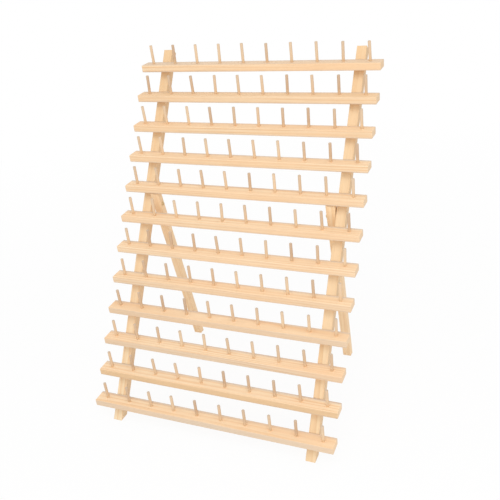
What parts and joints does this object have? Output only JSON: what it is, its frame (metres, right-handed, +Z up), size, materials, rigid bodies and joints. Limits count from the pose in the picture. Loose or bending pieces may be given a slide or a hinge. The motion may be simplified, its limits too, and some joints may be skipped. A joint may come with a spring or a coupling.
{
  "type": "thread rack",
  "caption": "Free-standing wooden rack for sewing thread: slanted rails with upright pegs cross two leaning posts, and two folding rear legs prop it up.",
  "frame": {"origin": "on the floor, at the centre of the rack's outline seen from above, with the legs open", "axes": "+Z up; the pegs' side faces -Y and the rack leans back towards +Y; +X to the right of someone who faces the pegs"},
  "size_m": [0.395, 0.3454, 0.5252],
  "materials": {
    "pine": "bare planed pine",
    "pine_pale": "bare planed pine",
    "dowel": "bare turned wood",
    "steel": "yellow zinc plated"
  },
  "bodies": {
    "frame": {"left_post": "pine", "right_post": "pine", "rail_01": "pine_pale", "rail_02": "pine_pale", "rail_03": "pine_pale", "rail_04": "pine_pale", "rail_05": "pine_pale", "rail_06": "pine_pale", "rail_07": "pine_pale", "rail_08": "pine_pale", "rail_09": "pine_pale", "rail_10": "pine_pale", "rail_11": "pine_pale", "rail_12": "pine_pale", "pegs_01": "dowel", "pegs_02": "dowel", "pegs_03": "dowel", "pegs_04": "dowel", "pegs_05": "dowel", "pegs_06": "dowel", "pegs_07": "dowel", "pegs_08": "dowel", "pegs_09": "dowel", "pegs_10": "dowel", "pegs_11": "dowel", "pegs_12": "dowel", "pivot_screws": "steel", "pivot_washers": "steel"},
    "left_leg": {"left_leg": "pine"},
    "right_leg": {"right_leg": "pine"}
  },
  "joints": [
    {"name": "left_leg_fold", "type": "hinge", "parent": "frame", "child": "left_leg", "pos_m": [-0.1469, 0.031, 0.29471], "axis": [-1, 0, 0], "range_deg": [0, 39]},
    {"name": "right_leg_fold", "type": "hinge", "parent": "frame", "child": "right_leg", "pos_m": [0.1469, 0.031, 0.29471], "axis": [-1, 0, 0], "range_deg": [0, 39]}
  ]
}
